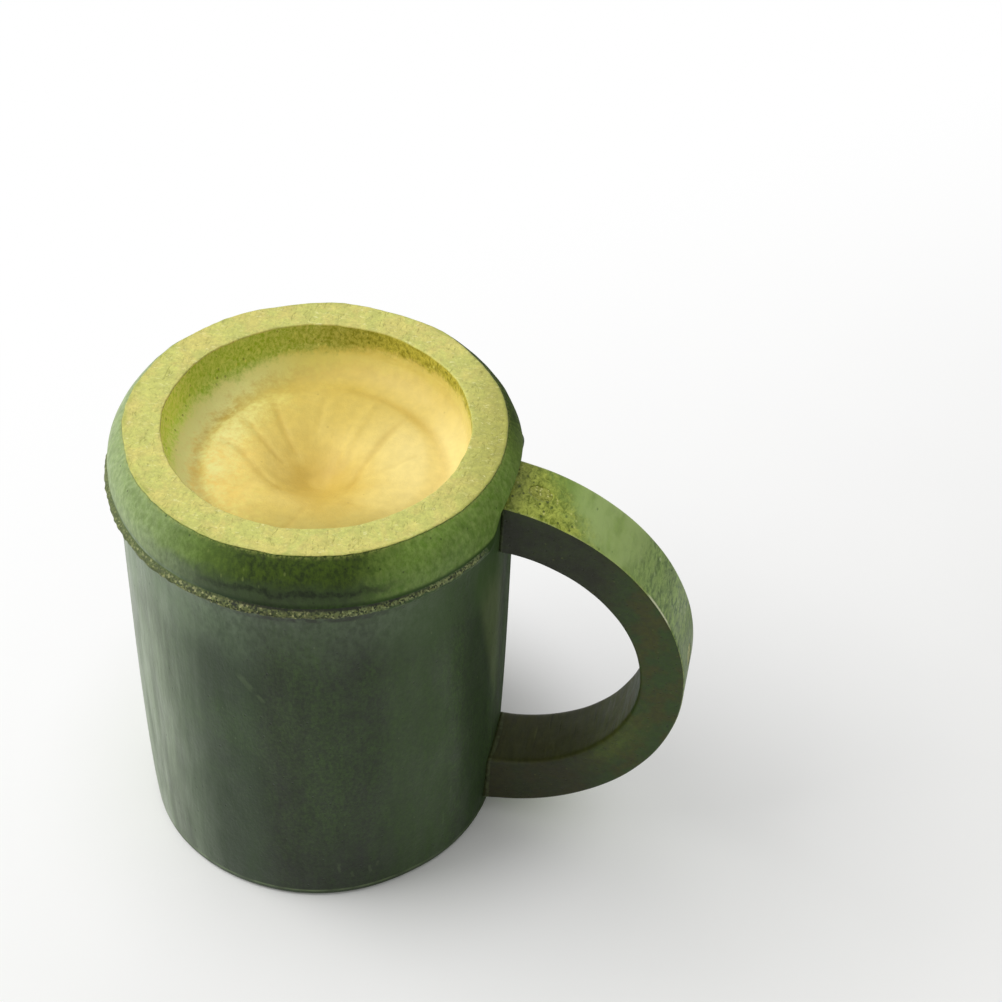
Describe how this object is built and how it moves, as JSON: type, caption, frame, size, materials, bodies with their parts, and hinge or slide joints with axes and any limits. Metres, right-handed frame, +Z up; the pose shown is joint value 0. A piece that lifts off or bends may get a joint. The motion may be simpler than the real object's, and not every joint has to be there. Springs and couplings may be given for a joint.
{
  "type": "bamboo cup",
  "caption": "Cup cut from a length of green bamboo culm with its natural node, and a pegged handle sliced from a round culm.",
  "frame": {"origin": "centre of the foot, on the cup's axis, at the level of the table", "axes": "+Z up the cup's axis to the rim, +X through the handle, +Y across the handle"},
  "size_m": [0.1291, 0.0902, 0.109],
  "materials": {
    "culm_skin": "clear lacquer over green bamboo skin, satin to glossy",
    "handle_skin": "clear lacquer over lighter green bamboo skin, satin",
    "peg_bamboo": "cut bamboo, lacquered over"
  },
  "bodies": {
    "root": {"culm_body": "culm_skin", "handle": "handle_skin", "upper_peg": "peg_bamboo", "lower_peg": "peg_bamboo", "handle_plug": "peg_bamboo"}
  },
  "joints": []
}
